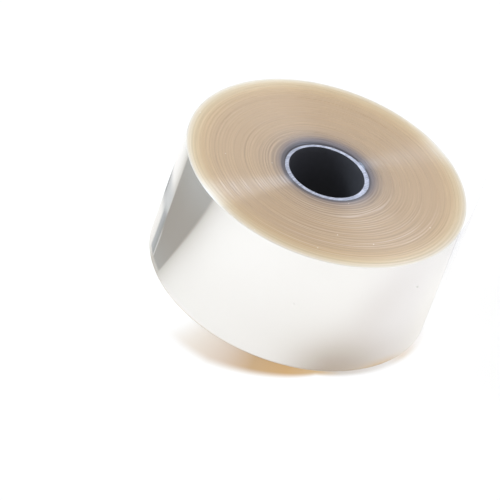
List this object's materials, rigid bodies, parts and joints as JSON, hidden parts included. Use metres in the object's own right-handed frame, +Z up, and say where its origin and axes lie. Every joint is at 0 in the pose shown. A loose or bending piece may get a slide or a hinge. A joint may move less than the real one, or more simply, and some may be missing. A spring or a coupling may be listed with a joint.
{
  "type": "roll of cake collar film",
  "caption": "Roll of clear cake collar film wound on a black plastic core, standing on its end with the outer end of the film sprung loose.",
  "frame": {"origin": "on the roll's axis, in the plane that the lower end rests on", "axes": "+Z up along the axis of the core, +Y away from the viewer of the picture, +X to the viewer's right, where the free end leaves the roll"},
  "size_m": [0.1926, 0.188, 0.0883],
  "materials": {
    "film": "clear polyester film, wound so deep that its side reads white and its ends cream",
    "core": "black plastic tube with pale, sawn ends"
  },
  "bodies": {
    "root": {"film": "film", "core": "core"}
  },
  "joints": []
}
